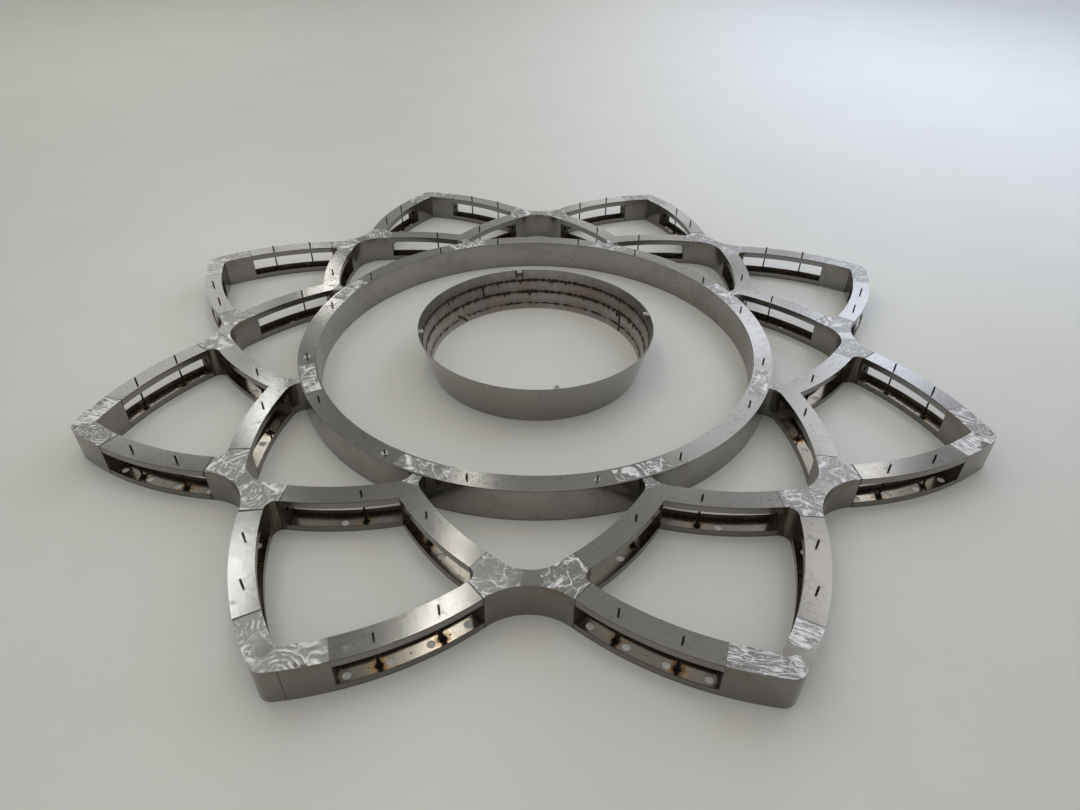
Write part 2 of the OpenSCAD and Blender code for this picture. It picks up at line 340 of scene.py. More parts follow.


# %% [markdown]
# ## Satin sheet
#
# The arms are cut from stainless sheet with a dull mill finish. It could be one grey with one
# roughness, but real sheet that was carried, bent and welded shows every hand that held it. So
# it is plain metal, a light grey with full metallic, on which noise of several sizes lays
# clouds, smudges, long wipes and a fine grain along the arm. A very shallow, slow bump bends
# the reflections of the lamps, as sheet that is never quite flat does. Walls get a darker tone
# than tops, as they have in the photograph: the walls' darker tone is painted shade, a shaded
# copy of the same sheet.


# %% Colours of metal, heat and soot
def grey(value, warm=0.0):
    """A grey, a little warmer or cooler, as a colour with full alpha."""
    return (value * (1 + warm), value, value * (1 - warm), 1.0)


SMUDGE, SPOT, SOILED = grey(0.16, 0.06), grey(0.10, 0.12), grey(0.13, 0.10)
SCUFFED, GROUND_BRIGHT = grey(0.92), grey(0.97)
STRAW = (0.70, 0.50, 0.27, 1)
BURNT_BROWN = (0.24, 0.110, 0.040, 1)
BURNT_BLACK = (0.012, 0.009, 0.007, 1)
BROWN_HAZE = (0.16, 0.10, 0.055, 1)
SOOT = (0.020, 0.016, 0.012, 1)
ARM_SOOT_AND_SHADE = (0.026, 0.019, 0.014, 1)
DRUM_SOOT = (0.015, 0.009, 0.005, 1)
DUSTY_SHADED_PLATE = (0.40, 0.335, 0.265, 1)
DUSTY_WALL = (0.20, 0.155, 0.12, 1)
print("soot in the drum:", DRUM_SOOT)


# %% Satin sheet
def handled(finish, plan, top, wiped, smudge):
    """Adds the wipes and the small dark spots that show only on tops."""
    scuffs = finish.noise(wiped, 2.2, 2.0, 0.6).ramp(0.56, 0.65)
    scuffs = scuffs * finish.noise(plan.where, 4.3, 2.0).ramp(0.41, 0.56)
    top = finish.mix(scuffs * 0.36, top, SMUDGE)
    spots = finish.noise(plan.where, 95.0, 1.0).ramp(0.69, 0.73)
    return finish.mix(spots * smudge.ramp(0.50, 0.62) * 0.35, top, SPOT)


def satin(finish, plan, along, aside, tone=0.50, shaded_wall_tone=0.265):
    """Colour, roughness and normal of plain sheet whose grain runs along."""
    cloud = finish.noise(plan.where, 1.7, 3.0, 0.55)
    smudge = finish.noise(plan.where, 11.0, 4.0, 0.62, 0.6)
    grain = finish.noise(finish.vector(along * 7.0, aside * 500.0, plan.z * 500.0), 1.0, 2.0)
    wiped = finish.vector((plan.x + plan.y) * 34.0, (plan.x - plan.y) * 9.0, plan.z * 20.0)
    marks = finish.noise(wiped, 1.0, 3.0, 0.7)
    marks = marks * finish.noise(plan.where, 3.0, 1.0).ramp(0.42, 0.62)
    stain = smudge.ramp(0.58, 0.74) * 0.20 + marks.ramp(0.52, 0.70) * 0.15

    level = (cloud - 0.5) * 0.20 + (grain - 0.5) * 0.08 + 0.5 - stain
    top = finish.mix(level, grey(tone * 0.72, 0.022), grey(tone * 1.28, 0.018))
    top = handled(finish, plan, top, wiped, smudge)
    # Painted shade: the walls take a darker, warmer copy of the same sheet than the tops.
    shaded_wall = finish.mix(level, grey(shaded_wall_tone * 0.72, 0.055), grey(shaded_wall_tone * 1.28, 0.045))
    colour = finish.mix(plan.plates(), shaded_wall, top)

    roughness = (smudge - 0.5) * 0.10 + (cloud - 0.5) * 0.08 + stain * 0.35 + 0.175
    normal = finish.bump(finish.noise(plan.where, 1.3, 1.0, 0.4), 0.0045)
    normal = finish.bump(grain, 0.00008, normal)
    return colour, roughness.higher(0.12), normal


# %% [markdown]
# ## Heat tint at the studs
#
# Each stud was welded to the bottom plate from inside the arm, and the heat left rings round
# its foot, straw outside, then brown, then black, with a black streak up the walls beside it.
# Rings alone would look printed. The distance from the stud is roughened with noise before it
# is turned into a ring, and a slow noise decides how hot each weld was.


# %% Heat tint at the studs
def stud_distances(arm, studs):
    """Distance from the nearest stud's foot in plan, and along the arm."""
    length, place = studs[0]
    distance, streak = arm.near(place), abs(arm.along - length)
    for length, place in studs[1:]:
        distance = distance.lower(arm.near(place))
        streak = streak.lower(abs(arm.along - length))
    far_off = arm.outside * 10 + arm.z.higher(SHEET) - SHEET
    return distance + far_off, streak + far_off * 0.6


def scorch(finish, arm, colour, roughness, metal, distance, streak):
    """Tint round a stud's foot: straw, brown, and a black streak across the arm."""
    rag = finish.noise(arm.where, 45.0, 3.0, 0.65)
    heat = finish.noise(arm.where, 1.9, 1.0).ramp(0.40, 0.60)
    straw = (distance + (rag - 0.5) * 0.070).ramp(0.080, 0.034)
    brown = (distance + (rag - 0.5) * 0.055).ramp(0.052, 0.024)
    black = (streak + (rag - 0.5) * 0.016).ramp(0.014, 0.007)
    black = black.higher((distance + (rag - 0.5) * 0.022).ramp(0.027, 0.018))
    colour = finish.mix(straw * (0.15 + heat * 0.55), colour, STRAW)
    colour = finish.mix(brown * (0.35 + heat * 0.45), colour, BURNT_BROWN)
    colour = finish.mix(black * 0.97, colour, BURNT_BLACK)
    roughness = (roughness + black * 0.45 + brown * 0.08).lower(0.9)
    return colour, roughness, metal * (1 - black * 0.8)


# %% [markdown]
# ## Seams and soot of the arms
#
# An arm is a bottom plate and a top plate with narrow rims, welded along every edge. Outside,
# the welds are ground off and only thin dark lines are left, broken where the grinder closed
# them. Inside nobody cleaned, so the corners and the rows of tacks are black with soot, and a
# brown haze covers the rest. The inner walls are darkened further, partly soot and partly
# painted shade under the top plate, and the inner level faces get a darker, warmer grey, brown
# dust with painted shade. The lines and the soot could be modelled as thin strips, but they
# have no thickness, so masks on the distance from each edge draw them, and a mask that is 1 on
# the inner faces alone keeps the dirt and the painted shade inside.


# %% Places and masks on an arm
class Arm(Plan):
    """A plan with the place along one arm, and masks for its inner and outer faces."""

    def __init__(self, finish, centre, start, first, last):
        super().__init__(finish)
        self.first = first
        self.along, self.aside = self.arm(centre, start)
        self.ends = (self.along - first).lower(last - self.along)
        self.inside = (
            abs(self.aside).ramp(ARM_HALF - 0.0012, ARM_HALF - 0.0018)
            * self.z.ramp(PETAL_TOP - 0.0015, PETAL_TOP - 0.0025)
            * self.z.ramp(0.0015, 0.0025)
        )
        self.outside = 1 - self.inside
        self.level = self.plates()
        self.patchy = finish.noise(self.where, 6.0, 2.0, 0.6)
        self.rag = finish.noise(self.where, 24.0, 4.0, 0.65) - 0.5


# %% Seams of an arm
def seam_lines(finish, arm):
    """Broken dark lines along the arm's outer edges, and across its ends, 0 to 1."""
    joint = arm.edge_lines(PETAL_TOP) * (1 - arm.level) * arm.outside
    joint = joint * arm.patchy.ramp(0.25, 0.45)
    gape = arm.leg().ramp(0.17, 0.18) * arm.leg().ramp(0.26, 0.25)
    wide = finish.noise(arm.where, 1.4, 1.0).ramp(0.42, 0.60) * 0.005 + 0.0022 + gape * 0.010
    seam = (arm.ends / wide).ramp(1.0, 0.6) * arm.outside
    return joint, seam * arm.patchy.ramp(0.20, 0.35).higher(gape)


# %% Soot in an arm
def weld_soot(arm):
    """Soot in the corners, at the ends and round the row of tacks, and brown haze beside it."""
    rim = ARM_HALF - SHEET - abs(arm.aside)
    rise = arm.z - SHEET
    corner = (rim * rim + rise * rise) ** 0.5
    corners = (corner + arm.rag * 0.020).ramp(0.010, 0.002)
    ends = (arm.ends + arm.rag * 0.06).ramp(0.026, 0.006)

    beat = ((arm.along - arm.first - TACK_START) / TACK_PITCH + 0.5).math("FRACT") - 0.5
    beat = beat * TACK_PITCH
    lift = (rise - 0.010) * 1.3
    ring = ((beat * beat + lift * lift) ** 0.5 + arm.rag * 0.008).ramp(0.017, 0.013)
    link = (abs(lift) + arm.rag * 0.004).ramp(0.005, 0.003)
    tacks = ring.higher(link) * (1 - arm.level) * arm.z.ramp(0.045, 0.040)

    haze = (arm.ends + arm.rag * 0.10).ramp(0.10, 0.02)
    haze = haze.higher((rim + arm.rag * 0.03).ramp(0.022, 0.004))
    return highest((corners, ends, tacks)), haze


# %% Finish of the arms
def arm_finish(name, centre, start, studs, first, last):
    """Satin sheet with seams outside, and with tint, soot and painted shade inside."""
    finish = Finish(name)
    arm = Arm(finish, centre, start, first, last)
    colour, roughness, normal = satin(finish, arm, arm.along, arm.aside)
    joint, seam = seam_lines(finish, arm)
    colour = finish.mix(joint * 0.80, colour, SOOT)
    colour = finish.mix(seam * 0.88, colour, SOOT)

    # Inner level faces: a darker, warmer grey, brown dust together with painted shade under the top
    # plate.
    colour = finish.mix(arm.inside * arm.level * 0.55, colour, DUSTY_SHADED_PLATE)
    colour, roughness, metal = scorch(finish, arm, colour, roughness, 1 - seam * 0.8,
                                      *stud_distances(arm, studs))
    cut_edges = arm.level * arm.z.ramp(0.010, 0.020) * arm.z.ramp(0.218, 0.208)
    colour = finish.mix(cut_edges * arm.patchy.ramp(0.20, 0.45) * 0.8, colour, SOOT)
    dusty = (1 - arm.level) * arm.inside
    colour = finish.mix(dusty * 0.75, colour, DUSTY_WALL)

    soot, haze = weld_soot(arm)
    # Inner walls: soot in patches and painted shade under the top plate, in one dark mask.
    soot_and_shade_walls = (1 - arm.level) * (0.10 + arm.patchy.ramp(0.42, 0.62) * 0.80)
    colour = finish.mix(haze * 0.5 * arm.inside, colour, BROWN_HAZE)
    colour = finish.mix(soot.higher(soot_and_shade_walls) * 0.92 * arm.inside, colour, ARM_SOOT_AND_SHADE)
    dirt = soot.higher(soot_and_shade_walls * 0.7) * arm.inside
    finish.set(
        Base_Color=colour,
        Roughness=(roughness + dirt * 0.30 + seam * 0.5).lower(0.9),
        Metallic=(metal - dirt * 0.6 - dusty * 0.4).higher(0.1),
        Normal=normal,
    )
    return finish.material


# Two inner arms meet on the petal's axis without a seam. Their first end is set ten tack
# pitches further back, so that no seam is drawn and the tacks keep their step.
SEAMLESS = NECK_TOUCH - 10 * TACK_PITCH
outer_sheet = arm_finish("outer_arm_sheet", OUTER_CENTRE, OUTER_START,
                         list(zip(OUTER_STUDS, outer_stud_places)), TIP_SEAM, OUTER_SEAM)
inner_sheet = arm_finish("inner_arm_sheet", INNER_CENTRE, INNER_START,
                         [(INNER_STUD, inner_stud_place)], SEAMLESS, INNER_SEAM)
print("nodes in the outer arms' finish:", len(outer_sheet.node_tree.nodes))

# %% [markdown]
# ## Strokes of the hand grinder
#
# The tops of the tips, junctions, necks and splice plates were welded flush and then dressed
# with a disc. Each pass leaves a bright curved stroke about as wide as a finger, and strokes
# cross at all angles. Plain noise gives clouds and no strokes. Here a repeated track is bent
# instead: cells scattered over the plate each get a turning centre of their own, and tracks
# round that centre bend together within one cell. Thin wandering lines, taken where a noise
# passes through its middle value, stand for the edge of the disc.


# %% Tracks, sweeps and scribbles
def tracks(across, pitch, uneven, full):
    """Bright-edged tracks that repeat across a direction, 0 to 1."""
    track = (across / pitch + uneven).math("FRACT")
    return track.ramp(0.0, 0.12) * track.ramp(full, full - 0.45)


def sweeps(finish, where, scale, swing, pitch):
    """Tracks that bend together round a turning centre of their own in each cell, 0 to 1."""
    x, y, _ = finish.parts(where)
    middle_x, middle_y, _ = finish.parts(finish.cells(where, scale, "F1", "Position"))
    chance = finish.parts(finish.cells(where, scale, "F1", "Color"))
    turn = chance[0] * (2 * math.pi)
    right = x - middle_x + turn.math("COSINE") * swing
    ahead = y - middle_y + turn.math("SINE") * swing
    reach = (right * right + ahead * ahead) ** 0.5
    sweep = ahead.math("ARCTAN2", right)
    uneven = finish.noise(finish.vector(reach * 20, sweep * 1.8, chance[1] * 40), 1.0, 2.0, 0.55)
    edge = finish.cells(where, scale, "DISTANCE_TO_EDGE", "Distance").ramp(0.0, 0.10)
    return tracks(reach, pitch, uneven * 1.1, 0.65) * edge * uneven.ramp(0.40, 0.60)


def scribble(finish, where, scale, width, seed, low):
    """Thin wandering lines, 0 to 1, with gaps."""
    moved = finish.shifted(where, seed, 0, seed)
    line = abs(finish.noise(moved, scale, 1.0, 0.4) - 0.5).ramp(width, width * 0.25)
    return line * finish.noise(moved, scale * 1.7, 1.0).ramp(low, low + 0.10)


# %% Strokes on one plate
def curved_strokes(finish, plan, bent):
    """Sweeps in some patches and curling tracks in the others, 0 to 1."""
    pick = finish.noise(plan.where, 5.0, 1.0).ramp(0.46, 0.54)
    curl = tracks(finish.noise(bent, 3.4, 1.0, 0.4), 1 / 13, 0.0, 0.70)
    curl = curl * finish.noise(bent, 13.0, 2.0, 0.6).ramp(0.38, 0.54)
    return sweeps(finish, bent, 5.4, 0.090, 0.026) * (1 - pick) + curl * pick


def thin_lines(finish, bent, low):
    """Three nets of thin lines that lie over the wider strokes, 0 to 1."""
    return highest([
        scribble(finish, bent, 9.0, 0.020, 0.0, low),
        scribble(finish, bent, 6.5, 0.016, 3.1, low),
        scribble(finish, bent, 15.0, 0.024, 5.7, low + 0.06),
    ])


def worked_over(finish, plan):
    """How much of each junction was dressed: some all over, some in a few spots."""
    joint_number = plan.number + plan.side.math("SIGN") * 0.5
    busy = (joint_number * 0.37 + 0.925).math("FRACT").ramp(0.05, 0.24)
    light = finish.noise(plan.where, 11.0, 1.0).ramp(0.46, 0.62)
    return light + busy * (1 - light)


# %% [markdown]
# At most tips the disc went in curves, but at a few legs it was pushed along the arm, and at a
# few others across it. The number of the leg picks which, so that each leg has one way only.


# %% Strokes on the tips
def tip_strokes(finish, plan, along, aside, swirl):
    """The swirl with straight strokes on some legs, and a mask of the legs ground lengthwise."""
    wave = finish.noise(finish.vector(along * 9, aside * 20, plan.number * 7), 1.0, 3.0, 0.6)
    thin = finish.noise(finish.vector(along * 8, aside * 75, plan.number * 3), 1.0, 2.0, 0.6)
    cross = finish.noise(finish.vector(along * 24, aside * 9, plan.number * 5), 1.0, 3.0, 0.6)
    leg = plan.leg()
    in_line = leg.ramp(0.57, 0.58) * leg.ramp(0.75, 0.74)
    athwart = leg.ramp(0.75, 0.76)
    lines = tracks(aside, 0.0185, wave * 4.2, 0.80) * (thin.ramp(0.40, 0.58) * 0.75 + 0.25)
    bars = tracks(along, 0.030, cross * 3.4, 1.05) * cross.ramp(0.36, 0.50)
    return swirl * (1 - in_line - athwart) + lines * in_line + bars * athwart, in_line


# %% [markdown]
# ## Walls of the ground boxes
#
# The walls of tips, junctions and necks were left as they came. Near the top they carry a brown
# tinge from the welds, the round inner corners of the junctions are streaked dark from top to
# bottom, and beside the point of each tip an upright joint shows. The joint could be a groove
# in the shape, but it is welded shut. All three are masks here, on the height, on the distance
# to the corner and on the length along the arm.


# %% Tints of the walls
def wall_tints(finish, plan, colour, roughness, burnt_corner):
    """Brown tinge high on the walls, and dark streaks round one corner."""
    tinge = finish.noise(plan.where, 8.0, 3.0, 0.6).ramp(0.40, 0.62) * plan.z.ramp(0.10, 0.22)
    colour = finish.mix(tinge * plan.walls() * 0.50, colour, (0.19, 0.125, 0.080, 1))
    if burnt_corner:
        streaks = finish.vector(plan.x * 85, plan.y * 85, plan.z * 2.5)
        streaks = finish.noise(streaks, 1.0, 3.0, 0.6).ramp(0.35, 0.65)
        burnt = plan.near(burnt_corner).ramp(0.080, 0.066) * plan.walls()
        colour = finish.mix(burnt * (0.35 + streaks * 0.6), colour, (0.085, 0.062, 0.036, 1))
        roughness = roughness + burnt * 0.12
    return colour, roughness


def fold_line(plan, along):
    """The upright joint beside the tip, on the right-hand leg of each petal, 0 to 1."""
    right_leg = (plan.side - 0.022).math("SIGN").higher(0)
    return right_leg * abs(along - TIP_FOLD).ramp(0.0026, 0.0012) * plan.walls()


# %% [markdown]
# ## Which part of a top is ground
#
# The tips are ground in large patches, and always next to their seams. The junctions are ground
# at both sides, next to the seams, and less in the middle. Necks and splice plates are small
# and ground nearly all over. A mask for each, with noise on its edge, is simpler than cutting
# the plates into pieces, and leaves the frame's meshes alone.


# %% Covers
def tip_cover(finish, plan, along):
    patch = finish.noise(finish.shifted(plan.where, 0.31, 0.0), 7.5, 1.5, 0.6)
    patch = patch + plan.leg().ramp(0.75, 0.74) * 0.07
    return patch.ramp(0.44, 0.48).higher(along.ramp(0.185, 0.20))


def junction_cover(finish, plan, along):
    edge = plan.reach * math.sin(STEP / 2) - plan.across
    patch = finish.noise(plan.where, 9.0, 2.0)
    return (edge + (patch - 0.5) * 0.10).ramp(0.035, 0.055).higher(patch.ramp(0.60, 0.66))


def full_cover(finish, plan, along):
    return finish.noise(plan.where, 12.0, 2.0).ramp(0.28, 0.36)


# %% [markdown]
# ## Ground tops
#
# A ground top is brighter in its strokes and duller between them than the mill finish, and both
# scatter light more. So the strokes raise the colour almost to white, raise the roughness, and
# take some of the metallic away, which keeps them pale from every side. A little bump gives
# them an edge. The four finishes differ in few things, so one function makes them all.


# %% Ground tops
def ground(name, top, cover, tip=False, sparse=False, dense=False, burnt_corner=None):
    """Sheet whose top is ground where it is covered, and whose sides are plain satin."""
    finish = Finish(name)
    plan = Plan(finish)
    along, aside = plan.arm(OUTER_CENTRE, OUTER_START)
    colour, roughness, normal = satin(finish, plan, along, aside)
    drift = finish.node("ShaderNodeTexNoise", inputs={"Vector": plan.where, "Scale": 9.0}, output=1)
    bent = finish.node("ShaderNodeVectorMath", {"operation": "MULTIPLY_ADD"},
                       {0: drift, 1: (0.030, 0.030, 0), 2: plan.where})

    swirl = curved_strokes(finish, plan, bent)
    covered = cover(finish, plan, along)
    if sparse:
        swirl = swirl * worked_over(finish, plan)
    if tip:
        swirl, in_line = tip_strokes(finish, plan, along, aside, swirl)
        covered = covered.higher(in_line)
    swirl = swirl.higher(thin_lines(finish, bent, 0.42 if sparse else 0.48) * 0.9)
    if dense:
        swirl = swirl.higher(scribble(finish, bent, 11.0, 0.050, 8.2, 0.40))

    dressed = plan.up.ramp(0.85, 0.95) * plan.z.ramp(top - 0.002, top - 0.001) * covered
    spark = finish.noise(plan.where, 70.0, 2.0, 0.6).ramp(0.60, 0.68)
    swirl = (swirl * dressed).higher(spark * dressed * 0.5)
    dust = finish.noise(plan.where, 26.0, 3.0, 0.65)
    dull = finish.mix(dust, grey(0.32, 0.025), grey(0.48, 0.020))
    colour = finish.mix(dressed, colour, dull)
    bright = finish.noise(plan.where, 14.0, 2.0, 0.6).ramp(0.30, 0.62)
    colour = finish.mix(swirl * (0.55 + bright * 0.45), colour, GROUND_BRIGHT)
    roughness = roughness * (1 - dressed) + dressed * ((dust - 0.5) * 0.1 + 0.34) + swirl * 0.24

    colour, roughness = wall_tints(finish, plan, colour, roughness, burnt_corner)
    if tip:
        colour = finish.mix(fold_line(plan, along) * 0.75, colour, SOOT)
    finish.set(
        Base_Color=colour,
        Roughness=roughness.higher(0.12).lower(0.9),
        Metallic=1 - swirl * 0.7,
        Normal=finish.bump(swirl, 0.0015, normal),
    )
    return finish.material


ground_tips = ground("ground_tips", PETAL_TOP, tip_cover, tip=True)
ground_junctions = ground("ground_junctions", PETAL_TOP, junction_cover, sparse=True,
                          burnt_corner=JUNCTION_CORNER)
ground_necks = ground("ground_necks", PETAL_TOP, full_cover)
ground_splices = ground("ground_splices", RING_TOP, full_cover, dense=True)
print("nodes in the tips' finish:", len(ground_tips.node_tree.nodes))

# %% [markdown]
# ## Ring
#
# The ring is the same sheet as the arms, bent round. Its grain runs round it, so the satin gets
# the length round the ring instead of the length along an arm. Its wide walls show drips and
# stains where water ran down, and beside some of the studs the top was cleaned bright with the
# disc. A stain that runs down is noise that changes faster round the wall than up it.


# %% Ring sheet
def ring_finish():
    finish = Finish("ring_sheet", Metallic=1.0)
    plan = Plan(finish)
    # The second tone, for the walls, is painted shade: a darker copy of the ring's sheet.
    colour, roughness, normal = satin(finish, plan, plan.sweep * RING_MIDDLE, plan.reach,
                                      0.53, 0.335)
    level = plan.up.ramp(0.7, 0.9)
    rag = finish.noise(plan.where, 30.0, 3.0, 0.65) - 0.5
    cleaned = finish.noise(plan.where, 2.3, 1.0).ramp(0.44, 0.56) * level
    scuff = (plan.near(ring_stud_place) + rag * 0.06).ramp(0.024, 0.012) * cleaned
    colour = finish.mix(scuff * 0.8, colour, SCUFFED)

    patchy = finish.noise(plan.where, 6.0, 2.0, 0.6)
    joint = plan.edge_lines(RING_TOP) * (1 - level) * patchy.ramp(0.25, 0.45)
    colour = finish.mix(joint * 0.7, colour, SOOT)

    runs = finish.vector(plan.sweep * 9, plan.z * 6, plan.reach)
    runs = finish.noise(runs, 1.0, 4.0, 0.65).ramp(0.46, 0.70) * 0.5
    spots = finish.noise(plan.where, 17.0, 2.0, 0.6).ramp(0.64, 0.72) * 0.6
    soiled = runs.higher(spots) * (1 - level)
    colour = finish.mix(soiled * 0.55, colour, SOILED)
    finish.set(Base_Color=colour, Roughness=roughness + scuff * 0.25 + soiled * 0.1, Normal=normal)
    return finish.material


ring_sheet = ring_finish()
print("nodes in the ring's finish:", len(ring_sheet.node_tree.nodes))

# %% [markdown]
# ## Drum
#
# The drum was rolled from strips, which are stitched together from inside. Each row of stitches
# is a ragged black line with drips below it and brown haze around, three short joints cross the
# strips, and the lugs burnt two marks each into the wall. The soot could be painted on a map of
# the unrolled wall. Here the wall is unrolled by its angle instead: the length round it and the
# height are two plain numbers, in which a row is a height and a joint is a line between two
# places. The drips are noise that varies round the wall, read as a length downwards.


# %% Rows of stitches on the drum's wall
def stitch_row(finish, plan, round_way, rag, number):
    """Soot and haze of one row; the lowest row is thinner and hardly drips."""
    low_row = number == 2
    below = DRUM_ROWS[number] - plan.z
    seed = number * 3.3
    beat = finish.noise(finish.vector(round_way * 23, seed, 0.0), 1.0, 1.0)
    thick = beat.ramp(0.38, 0.60) * 0.008 + (0.0005 if low_row else 0.0060)
    line = (abs(below) + rag * 0.009 - thick).ramp(0.002, -0.002)
    run = finish.noise(finish.vector(round_way * 27, seed + 9.0, plan.z * 3), 1.0, 2.0, 0.6)
    drip = run.ramp(0.50, 0.78) * (0.015 if low_row else 0.046) + 0.003
    drip = (drip - below).ramp(0, 0.004) * below.ramp(-0.003, 0.001)
    haze = (abs(below + 0.006) + rag * 0.05).ramp(0.050, 0.008)
    return line.higher(drip), haze


# %% Short joints and burns by the lugs
# Each joint is an angle in degrees and a height at its upper end, the same at its lower end,
# and half its width.
SHORT_JOINTS = (
    ((122.3, 0.235), (122.3, 0.142), 0.014),
    ((34.6, 0.135), (31.6, 0.004), 0.017),
    ((143.0, 0.085), (136.5, 0.010), 0.012),
)


def stroke(across, height, start, end, half):
    """A line between two places on an unrolled wall, 0 to 1."""
    run, rise = end[0] - start[0], end[1] - start[1]
    length = math.hypot(run, rise)
    run, rise = run / length, rise / length
    right, up = across - start[0], height - start[1]
    ahead = right * run + up * rise
    off = abs(right * rise - up * run)
    within = ahead.ramp(-0.004, 0.004) * ahead.ramp(length + 0.004, length - 0.004)
    return off.ramp(half, half * 0.5) * within


def short_joint(plan, round_way, rag, upper, lower, half):
    start, end = ((math.radians(turn) * DRUM_MIDDLE, height) for turn, height in (upper, lower))
    return stroke(round_way, plan.z + rag * 0.01, start, end, half)


def lug_burns(plan, rag):
    """Two burnt marks beside each of the four lugs."""
    turn = ((plan.sweep - LUG_TURN) / (math.pi / 2) + 0.5).math("FRACT") - 0.5
    aside = abs(turn) * (math.pi / 2 * LUG_REACH)
    return (abs(aside - 0.024) + rag * 0.012).ramp(0.012, 0.008) * plan.z.ramp(0.255, 0.265)


# %% Drum sheet
def drum_finish():
    """Rolled sheet; inside, three sooty rows of stitches with drips, short joints and haze."""
    finish = Finish("drum_sheet")
    plan = Plan(finish)
    round_way = plan.sweep * DRUM_MIDDLE
    # The second tone, for the walls, is painted shade: a darker copy of the drum's sheet.
    colour, roughness, normal = satin(finish, plan, round_way, plan.reach, 0.42, 0.345)
    in_sheet = DRUM_FOOT + plan.z * DRUM_SLOPE - 0.0022
    inside = (plan.reach - in_sheet).ramp(0.0004, -0.0004)
    rag = finish.noise(plan.where, 48.0, 3.0, 0.65) - 0.5

    rows = [stitch_row(finish, plan, round_way, rag, number) for number in range(len(DRUM_ROWS))]
    joints = [short_joint(plan, round_way, rag, *joint) for joint in SHORT_JOINTS]
    soot = highest([line for line, _ in rows] + joints + [lug_burns(plan, rag)]) * inside
    haze = highest([haze for _, haze in rows]) * inside
    pink = finish.noise(plan.where, 5.0, 3.0, 0.6).ramp(0.42, 0.60) * plan.z.ramp(0.25, 0.22)
    mottle = finish.noise(finish.vector(round_way * 14, plan.z * 9, 4.0), 1.0, 4.0, 0.65)
    mottled = finish.mix(mottle.ramp(0.30, 0.70), grey(0.45, 0.02), grey(0.67, 0.02))

    colour = finish.mix(inside * 0.60, colour, mottled)
    colour = finish.mix(pink * inside * 0.45, colour, (0.50, 0.38, 0.30, 1))
    colour = finish.mix(haze * 0.40, colour, (0.20, 0.14, 0.10, 1))
    colour = finish.mix(soot * 0.98, colour, DRUM_SOOT)
    finish.set(
        Base_Color=colour,
        Roughness=(roughness + inside * 0.12 + soot * 0.3).lower(0.9),
        Metallic=1 - soot * 0.7,
        Normal=normal,
    )
    return finish.material


drum_sheet = drum_finish()
print("nodes in the drum's finish:", len(drum_sheet.node_tree.nodes))

# %% [markdown]
# ## Lugs and studs
#
# The four lugs are brighter plate, dark below their top tab: heat stain where they meet the
# wall, and painted shadow under the tab. The studs are black threaded rod, a little rusty, with
# upper end faces of a lighter grey. A thread of this pitch is finer than the eye sees from the
# camera, so its ridges are only a sine in the bump along the height, and no geometry is spent
# on sixty-four of them.

# %% Lug steel and black studs
THREAD_PITCH = 0.00175


def lug_finish():
    finish = Finish("lug_steel")
    plan = Plan(finish)
    rag = finish.noise(plan.where, 90.0, 3.0, 0.6) - 0.5
    # Dark below the tab: heat stain at the weld to the wall, and painted shadow under the tab.
    burnt = (DRUM_HEIGHT - 0.014 - plan.z + rag * 0.02).ramp(-0.004, 0.006)
    colour = finish.mix(burnt * 0.9, grey(0.80, 0.01), (0.05, 0.032, 0.020, 1))
    finish.set(Base_Color=colour, Roughness=burnt * 0.3 + 0.35, Metallic=1 - burnt * 0.6)
    return finish.material


def stud_finish():
    finish = Finish("black_studs", Metallic=0.6)
    plan = Plan(finish)
    ridges = (plan.z * (2 * math.pi / THREAD_PITCH)).math("SINE")
    rust = finish.noise(plan.where, 90.0, 3.0, 0.6)
    colour = finish.mix(rust.ramp(0.45, 0.7), (0.016, 0.015, 0.014, 1), (0.060, 0.036, 0.022, 1))
    # The upper end faces get a lighter grey.
    lighter_end = plan.up.ramp(0.8, 0.9) * plan.z.ramp(0.245, 0.250)
    colour = finish.mix(lighter_end * rust.ramp(0.62, 0.50), colour, (0.30, 0.26, 0.22, 1))
    finish.set(Base_Color=colour, Roughness=rust * 0.3 + 0.35, Normal=finish.bump(ridges, 0.0006))
    return finish.material


lug_steel = lug_finish()
black_studs = stud_finish()
print("nodes in the studs' finish:", len(black_studs.node_tree.nodes))

# %% [markdown]
# ## A finish for every node
#
# The frame's nodes keep their shapes and only change their material. Their names start with
# what they are, so a table from the start of a name to a finish covers all petals at once. The
# longer starts come first, because "ring" would also catch the ring's plates and studs.

# %% Give every node of the frame its finish
finishes = {
    "tip_box": ground_tips, "junction_box": ground_junctions, "neck_box": ground_necks,
    "ring_splice_plates": ground_splices, "outer_arms": outer_sheet, "inner_frame": inner_sheet,
    "ring_studs": black_studs, "outer_arm_studs": black_studs, "inner_arm_studs": black_studs,
    "ring": ring_sheet, "drum_lugs": lug_steel, "drum": drum_sheet,
}
for name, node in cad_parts.items():
    finish = next(finishes[key] for key in finishes if name.startswith(key))
    node.data.materials.clear()
    node.data.materials.append(finish)
print("finishes given to", len(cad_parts), "nodes")

# %% [markdown]
# ## Rows of tack welds
#
# Inside the arms the bottom plate is tacked to its rims every few centimetres, and from
# outside the row reads as a dark chain. Inside the drum three rows of stitches join the
# rolled strips. A bead could be a sculpted drop, but there are about a thousand of them and
# each is two or three centimetres long. A flattened ball of twenty faces, repeated along each
# joint, reads the same and keeps a whole row light.


# %% One bead
def bead(mesh, place, ahead, size, up=Vector((0, 0, 1))):
    """Adds a flattened ball that lies along ahead on a surface facing up."""
    length, width, height = size
    ahead = ahead.normalized()
    side = up.cross(ahead).normalized()
    axes = Matrix((ahead * length / 2, side * width / 2, up.normalized() * height)).transposed()
    bmesh.ops.create_icosphere(mesh, subdivisions=1, radius=1.0,
                               matrix=Matrix.Translation(place) @ axes.to_4x4())


